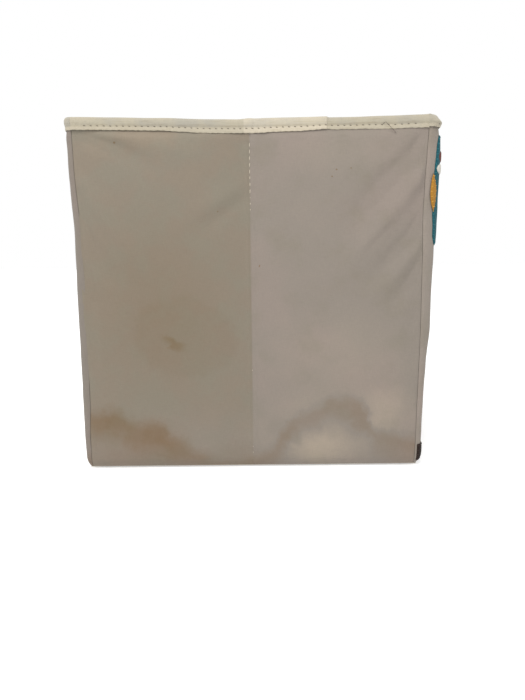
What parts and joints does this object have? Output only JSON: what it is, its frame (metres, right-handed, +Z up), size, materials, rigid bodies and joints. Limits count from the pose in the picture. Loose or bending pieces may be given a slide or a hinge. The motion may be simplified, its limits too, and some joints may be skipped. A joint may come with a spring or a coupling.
{
  "type": "folding fabric storage bin",
  "caption": "Open-topped cube storage bin of canvas over cardboard panels, with a taped rim, creased side walls that fold inwards and a flip-up base insert.",
  "frame": {"origin": "on the floor, under the middle of the bin", "axes": "+Z up, -Y out of the decorated front wall, +X out of the right wall (the left one is the wall pictured)"},
  "size_m": [0.3324, 0.3342, 0.33],
  "materials": {
    "canvas": "plain-woven cotton canvas, matt, water stained",
    "lining": "light plain-woven lining, matt",
    "binding": "folded cotton tape, topstitched",
    "board": "grey-brown millboard",
    "teal_felt": "wool-look felt",
    "ochre_felt": "wool-look felt",
    "brown_felt": "wool-look felt",
    "red_felt": "wool-look felt",
    "cream_felt": "wool-look felt",
    "thread": "sewing thread"
  },
  "bodies": {
    "back_wall": {"bottom_canvas": "canvas", "bottom_lining": "lining", "back_canvas": "canvas", "back_board": "board", "back_lining": "lining", "back_binding": "binding"},
    "left_rear": {"left_rear_canvas": "canvas", "left_rear_board": "board", "left_rear_lining": "lining", "left_rear_binding": "binding"},
    "left_front": {"left_front_canvas": "canvas", "left_front_board": "board", "left_front_lining": "lining", "left_front_binding": "binding"},
    "front_wall": {"front_canvas": "canvas", "front_board": "board", "front_lining": "lining", "front_binding": "binding", "ground_band": "brown_felt", "tree_trunk": "brown_felt", "tree_crown": "teal_felt", "ochre_leaf_1": "ochre_felt", "ochre_leaf_2": "ochre_felt", "ochre_leaf_3": "ochre_felt", "ochre_leaf_4": "ochre_felt", "fruit_1": "red_felt", "fruit_2": "red_felt", "fruit_3": "red_felt", "fruit_4": "red_felt", "fruit_5": "red_felt", "blossom_1": "cream_felt", "blossom_2": "cream_felt", "blossom_3": "cream_felt", "blossom_4": "cream_felt", "blossom_5": "cream_felt"},
    "right_rear": {"right_rear_canvas": "canvas", "right_rear_board": "board", "right_rear_lining": "lining", "right_rear_binding": "binding"},
    "right_front": {"right_front_canvas": "canvas", "right_front_board": "board", "right_front_lining": "lining", "right_front_binding": "binding"},
    "insert": {"insert_board": "board", "insert_cover": "lining"}
  },
  "joints": [
    {"name": "fold", "type": "hinge", "parent": "back_wall", "child": "left_rear", "pos_m": [-0.1595, 0.15685, 0.165], "axis": [0, 0, 1], "range_deg": [0, 86]},
    {"name": "left_crease", "type": "hinge", "parent": "left_rear", "child": "left_front", "pos_m": [-0.1664, 0, 0.165], "axis": [0, 0, -1], "range_deg": [0, 172]},
    {"name": "front_corner", "type": "hinge", "parent": "left_front", "child": "front_wall", "pos_m": [-0.1595, -0.15685, 0.165], "axis": [0, 0, 1], "range_deg": [0, 86]},
    {"name": "right_corner", "type": "hinge", "parent": "back_wall", "child": "right_rear", "pos_m": [0.1595, 0.15685, 0.165], "axis": [0, 0, -1], "range_deg": [0, 86]},
    {"name": "right_crease", "type": "hinge", "parent": "right_rear", "child": "right_front", "pos_m": [0.1664, 0, 0.165], "axis": [0, 0, 1], "range_deg": [0, 172]},
    {"name": "insert_flip", "type": "hinge", "parent": "back_wall", "child": "insert", "pos_m": [0, 0.1579, 0.0019], "axis": [-1, 0, 0], "range_deg": [0, 90]}
  ],
  "couplings": [
    {"joint": "left_crease", "follows": "fold", "ratio": 2},
    {"joint": "front_corner", "follows": "fold", "ratio": 1},
    {"joint": "right_corner", "follows": "fold", "ratio": 1},
    {"joint": "right_crease", "follows": "fold", "ratio": 2}
  ]
}
